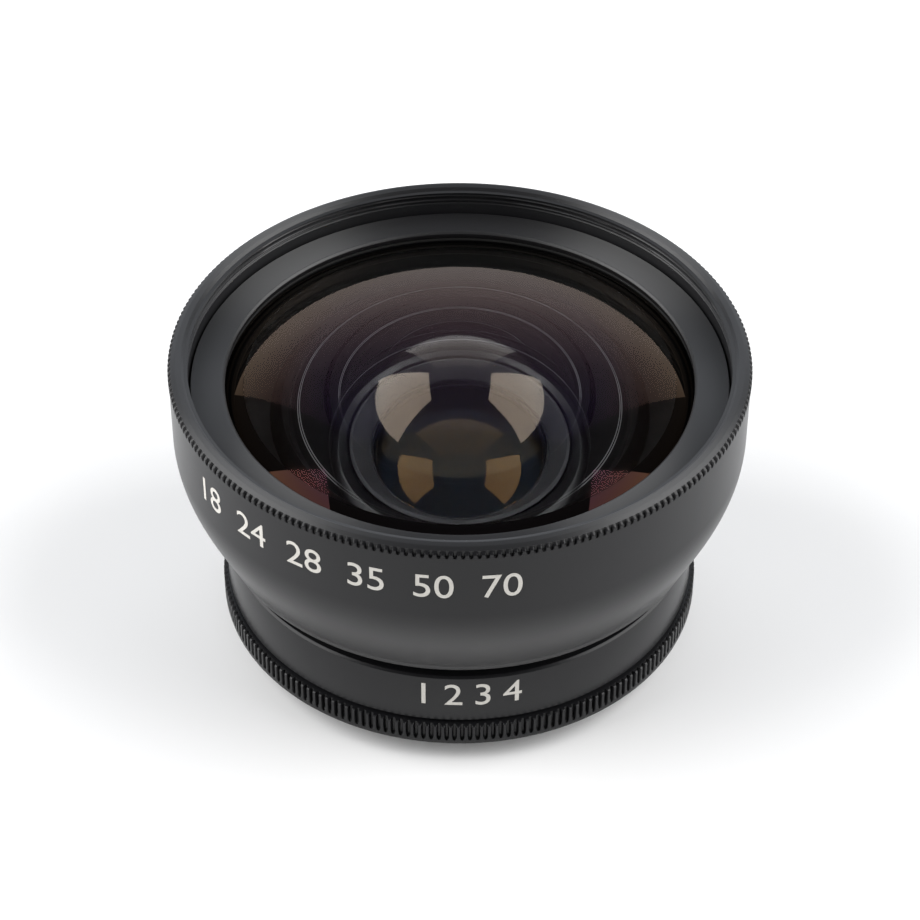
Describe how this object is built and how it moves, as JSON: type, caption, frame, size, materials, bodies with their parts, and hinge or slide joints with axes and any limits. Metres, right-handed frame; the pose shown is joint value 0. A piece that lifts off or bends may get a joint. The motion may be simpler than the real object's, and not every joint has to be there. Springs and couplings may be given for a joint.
{
  "type": "wide-angle conversion lens with macro section",
  "caption": "Black wide-angle conversion lens with a bowl-shaped front housing, domed glass and toothed rim, screwed onto a low macro ring with a toothed grip and a male rear thread",
  "frame": {"origin": "on the optical axis, in the plane of the rear end of the macro section's male thread, on which the part stands", "axes": "+Z is the optical axis, towards the scene; X and Y are free, as the part is turned; the numerals face -Y"},
  "size_m": [0.0762, 0.0762, 0.0441],
  "materials": {
    "shell_metal": "satin black anodised",
    "ring_metal": "matt black anodised",
    "front_glass": "polished, amber-brown anti-reflection coating",
    "inner_glass": "polished, blue-green anti-reflection coating",
    "seal_rubber": "matt black"
  },
  "bodies": {
    "macro_section": {"macro_housing": "shell_metal", "macro_element": "inner_glass", "macro_retaining_ring": "ring_metal"},
    "wide_section": {"front_shell": "shell_metal", "front_element": "front_glass", "front_retaining_ring": "ring_metal", "front_seal": "seal_rubber", "inner_baffle": "ring_metal", "rear_element": "inner_glass", "rear_retaining_ring": "ring_metal"}
  },
  "joints": [
    {"name": "section_release", "type": "slide", "parent": "macro_section", "child": "wide_section", "axis": [0, 0, 1], "range_m": [0, 0.03]}
  ]
}
